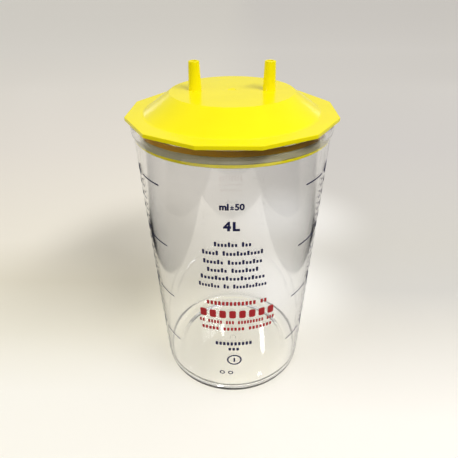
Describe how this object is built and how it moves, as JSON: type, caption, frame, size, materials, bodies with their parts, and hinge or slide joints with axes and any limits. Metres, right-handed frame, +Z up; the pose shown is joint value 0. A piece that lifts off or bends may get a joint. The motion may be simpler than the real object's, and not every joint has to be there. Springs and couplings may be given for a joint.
{
  "type": "suction canister",
  "caption": "Clear tapered suction jar with a flared lip, closed by a yellow plug lid with a twelve-sided flange, a low dome and upright tube ports, and a soft seal ring.",
  "frame": {"origin": "centre of the jar's foot, on the surface that it stands on", "axes": "+Z up along the jar's axis; -Y is the front, with one flat side of the flange facing it; the tube ports lie along X"},
  "size_m": [0.17, 0.17, 0.3087],
  "materials": {
    "clear_plastic": "clear, polished",
    "yellow_plastic": "glossy",
    "silicone": "satin, milky"
  },
  "bodies": {
    "jar": {"jar": "clear_plastic"},
    "lid": {"lid": "yellow_plastic", "seal": "silicone"}
  },
  "joints": [
    {"name": "lid_lift", "type": "slide", "parent": "jar", "child": "lid", "axis": [0, 0, 1], "range_m": [0, 0.06]}
  ]
}
